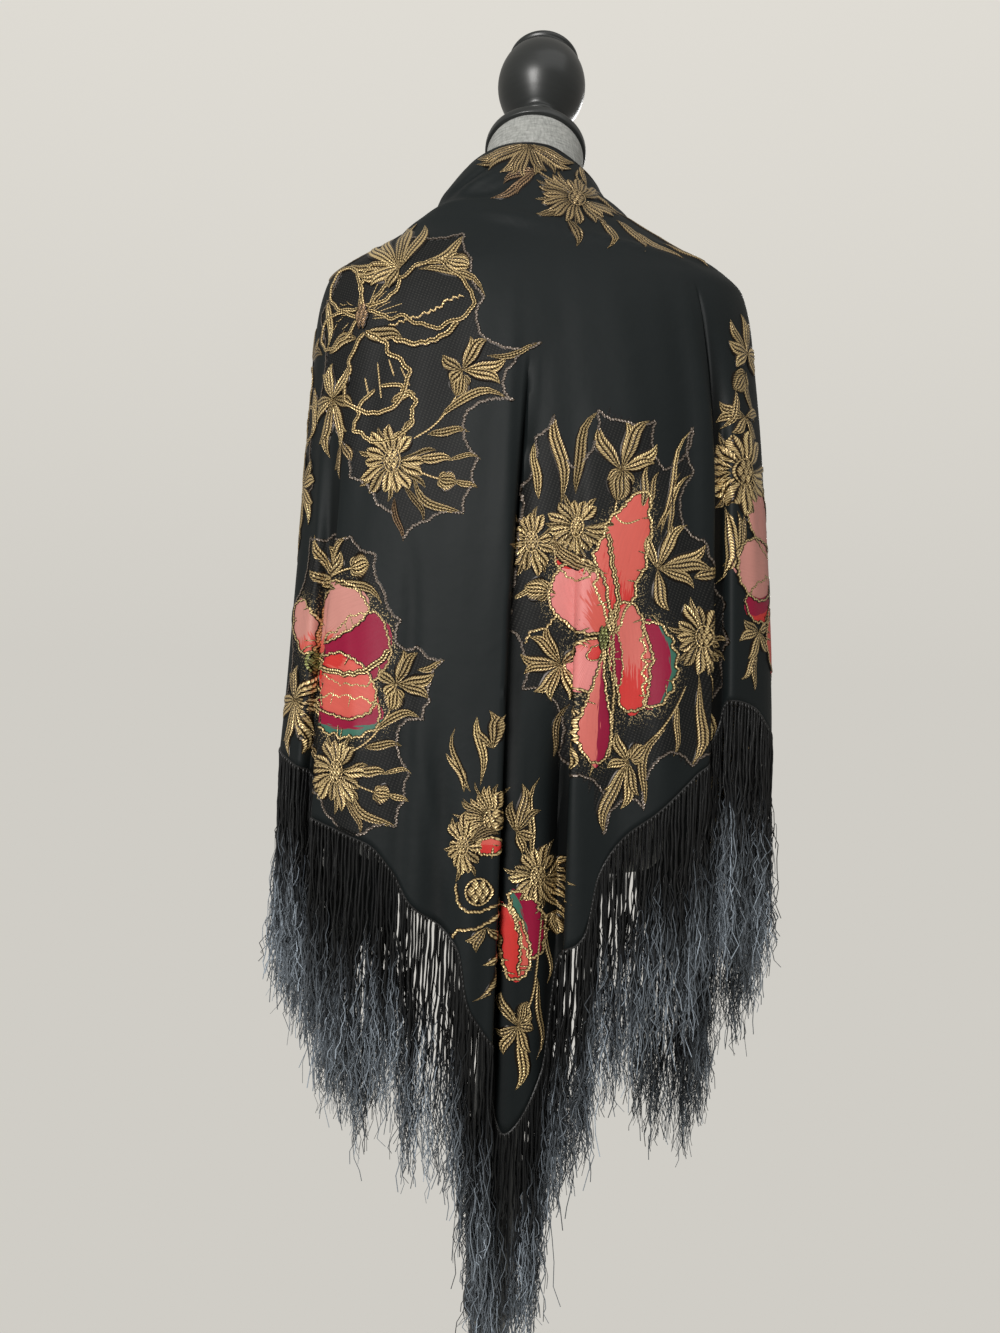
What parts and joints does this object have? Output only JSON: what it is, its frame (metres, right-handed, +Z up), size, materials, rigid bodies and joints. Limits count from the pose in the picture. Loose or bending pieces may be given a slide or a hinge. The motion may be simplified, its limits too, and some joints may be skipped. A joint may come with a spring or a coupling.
{
  "type": "embroidered shawl on dress form",
  "caption": "Black silk shawl with embroidered flowers and a long knotted fringe, draped round a linen dress form on a turned stand, open at the front.",
  "frame": {"origin": "on the floor, at the middle of the underside of the round base", "axes": "+Z up; -Y is the back, where the shawl's point hangs; +Y is the open front; +X is to the right seen from the back"},
  "size_m": [0.5049, 0.4, 1.7675],
  "materials": {
    "silk": "soft matt crepe with a faint sheen, embroidered in gold and coloured thread",
    "fringe_silk": "twisted silk, black at the root and frayed slate grey at the end",
    "linen": "plain linen weave, matt",
    "black_wood": "black satin lacquer"
  },
  "bodies": {
    "root": {"shawl_cloth": "silk", "fringe_front_left": "fringe_silk", "fringe_side_left": "fringe_silk", "fringe_back_left": "fringe_silk", "fringe_back_right": "fringe_silk", "fringe_side_right": "fringe_silk", "fringe_front_right": "fringe_silk", "form_torso": "linen", "neck_cap": "black_wood", "finial": "black_wood", "stand_post": "black_wood", "stand_base": "black_wood"}
  },
  "joints": []
}
